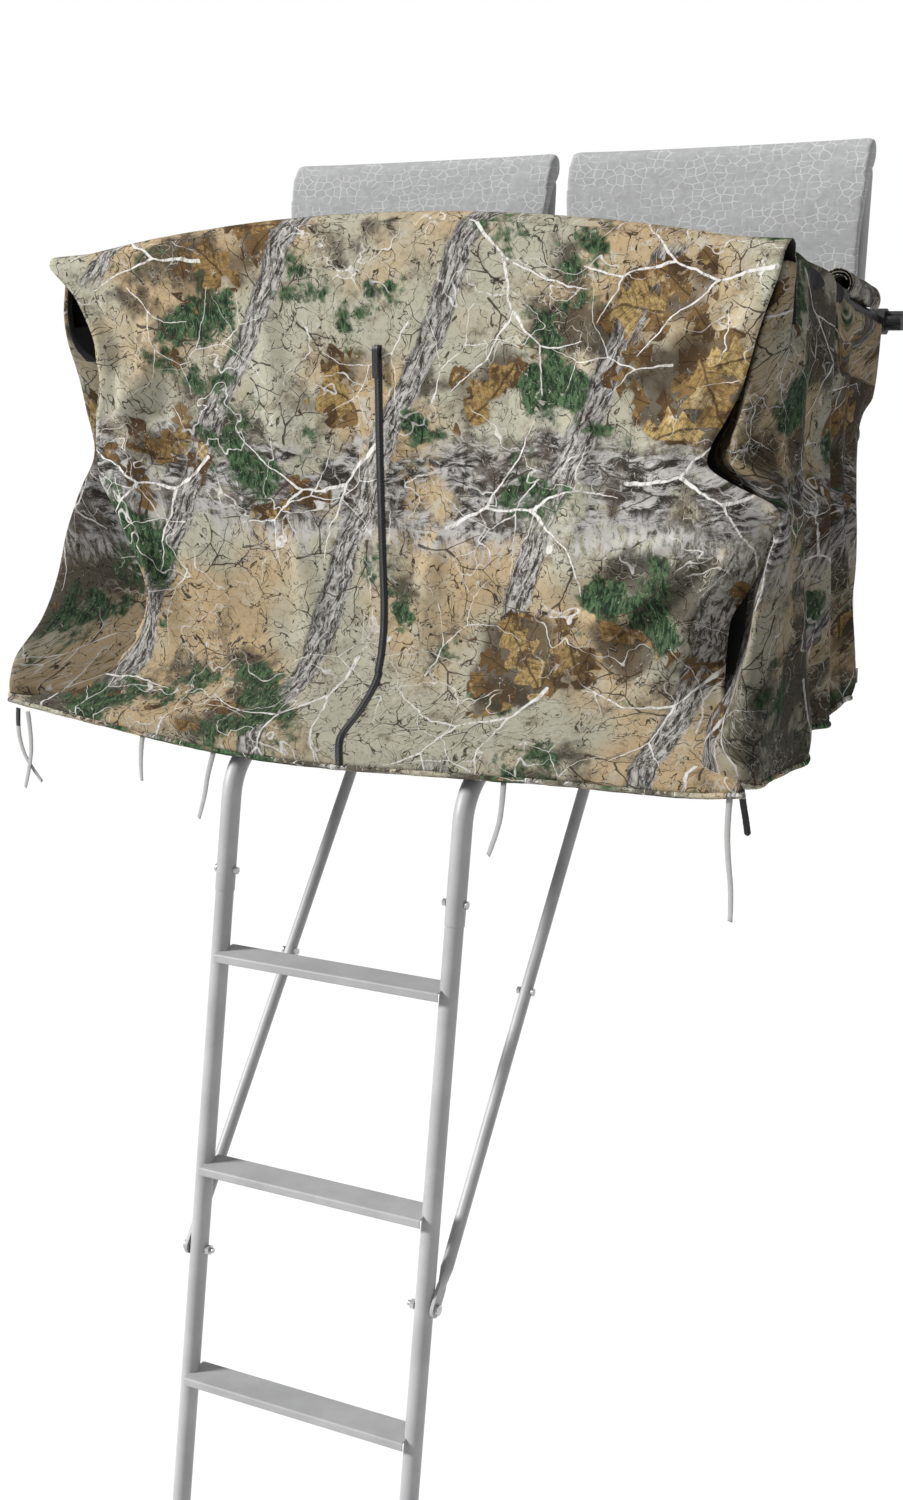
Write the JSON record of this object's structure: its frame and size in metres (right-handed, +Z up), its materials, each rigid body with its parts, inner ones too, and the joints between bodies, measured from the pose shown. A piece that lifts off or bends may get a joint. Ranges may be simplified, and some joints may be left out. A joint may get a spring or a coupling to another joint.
{
  "type": "ladder tree stand",
  "caption": "Ladder tree stand with a two-seat platform, flip-up seats, a flip-back shooting rail, a fabric blind, braces and a tree strap.",
  "frame": {"origin": "where the trunk meets the tree cradle, at the height of the platform's lower tubes", "axes": "+Z up, +Y from the stand towards the trunk, +X to the right when facing the trunk"},
  "size_m": [1.25, 1.9369, 5.0233],
  "materials": {
    "ladder_steel": "satin powder coat",
    "bolt_steel": "zinc plated",
    "black_plastic": "moulded",
    "black_foam": "closed-cell foam",
    "black_rubber": "matte",
    "back_fabric": "woven, printed texture",
    "seat_fabric": "woven mesh over foam",
    "camo_fabric": "printed camouflage",
    "tie_fabric": "woven tape",
    "black_webbing": "woven",
    "zipper_black": "coil zipper"
  },
  "bodies": {
    "stand": {"back_frame_left": "ladder_steel", "back_frame_right": "ladder_steel", "back_pad_left": "back_fabric", "back_pad_right": "back_fabric", "brace_bolts": "bolt_steel", "brace_left": "ladder_steel", "brace_right": "ladder_steel", "gooseneck_left": "ladder_steel", "gooseneck_right": "ladder_steel", "ladder_feet": "black_rubber", "ladder_joint_bolts": "bolt_steel", "ladder_rail_left_lower": "ladder_steel", "ladder_rail_left_middle": "ladder_steel", "ladder_rail_left_upper": "ladder_steel", "ladder_rail_right_lower": "ladder_steel", "ladder_rail_right_middle": "ladder_steel", "ladder_rail_right_upper": "ladder_steel", "platform_cross_tubes": "ladder_steel", "platform_deck": "ladder_steel", "platform_front_tube": "ladder_steel", "platform_rear_tube": "ladder_steel", "platform_side_tubes": "ladder_steel", "rail_bracket_left": "ladder_steel", "rail_bracket_right": "ladder_steel", "rail_pivot_bolts": "bolt_steel", "ratchet_body": "bolt_steel", "rungs_lower": "ladder_steel", "rungs_middle": "ladder_steel", "rungs_upper": "ladder_steel", "seat_cross_tubes": "ladder_steel", "stabiliser_bracket": "ladder_steel", "tree_cradle": "ladder_steel", "tree_strap": "black_webbing"},
    "seat_left": {"seat_frame_left": "ladder_steel", "seat_pad_left": "seat_fabric"},
    "seat_right": {"seat_frame_right": "ladder_steel", "seat_pad_right": "seat_fabric"},
    "shooting_rail": {"rail_front_tube": "ladder_steel", "rail_arm_left": "ladder_steel", "rail_arm_right": "ladder_steel", "rail_foam": "black_foam", "blind_front": "camo_fabric", "blind_side_left": "camo_fabric", "blind_side_right": "camo_fabric", "zipper_tape": "zipper_black", "tie_corner_front": "tie_fabric", "tie_corner_rear": "tie_fabric", "tie_left_long": "tie_fabric", "tie_left_short": "tie_fabric", "tie_middle": "tie_fabric", "tie_right_long": "tie_fabric", "strap_end": "black_webbing"},
    "zipper_slider": {"zipper_slider": "zipper_black"},
    "knob_left": {"rail_knob_left": "black_plastic"},
    "knob_right": {"rail_knob_right": "black_plastic"},
    "ratchet_handle": {"ratchet_handle": "bolt_steel"},
    "ratchet_spool": {"ratchet_spool": "bolt_steel"},
    "stabiliser_bar": {"stabiliser_outer": "ladder_steel"},
    "stabiliser_reach": {"stabiliser_inner": "ladder_steel"}
  },
  "joints": [
    {"name": "shooting_rail_flip", "type": "hinge", "parent": "stand", "child": "shooting_rail", "pos_m": [0, -0.2, 0.622], "axis": [-1, 0, 0], "range_deg": [0, 90]},
    {"name": "seat_left_flip", "type": "hinge", "parent": "stand", "child": "seat_left", "pos_m": [0, -0.16, 0.44], "axis": [-1, 0, 0], "range_deg": [0, 80]},
    {"name": "seat_right_flip", "type": "hinge", "parent": "stand", "child": "seat_right", "pos_m": [0, -0.16, 0.44], "axis": [-1, 0, 0], "range_deg": [0, 80]},
    {"name": "zipper_slide", "type": "slide", "parent": "shooting_rail", "child": "zipper_slider", "axis": [0, 0, -1], "range_m": [0, 0.38]},
    {"name": "knob_left_turn", "type": "hinge", "parent": "stand", "child": "knob_left", "pos_m": [-0.6, -0.2, 0.622], "axis": [1, 0, 0], "range_deg": [-180, 180]},
    {"name": "knob_right_turn", "type": "hinge", "parent": "stand", "child": "knob_right", "pos_m": [0.6, -0.2, 0.622], "axis": [1, 0, 0], "range_deg": [-180, 180]},
    {"name": "ratchet_handle_swing", "type": "hinge", "parent": "stand", "child": "ratchet_handle", "pos_m": [0.111, 0, 0.069], "axis": [0, 0, 1], "range_deg": [0, 120]},
    {"name": "ratchet_spool_spin", "type": "hinge", "parent": "stand", "child": "ratchet_spool", "pos_m": [0.111, 0, 0.069], "axis": [0, 0, 1], "continuous": true},
    {"name": "stabiliser_pivot", "type": "hinge", "parent": "stand", "child": "stabiliser_bar", "pos_m": [0, -1.204, -1.86], "axis": [1, 0, 0], "range_deg": [-80, 40]},
    {"name": "stabiliser_slide", "type": "slide", "parent": "stabiliser_bar", "child": "stabiliser_reach", "axis": [0, 1, 0], "range_m": [-0.12, 0.08]}
  ]
}
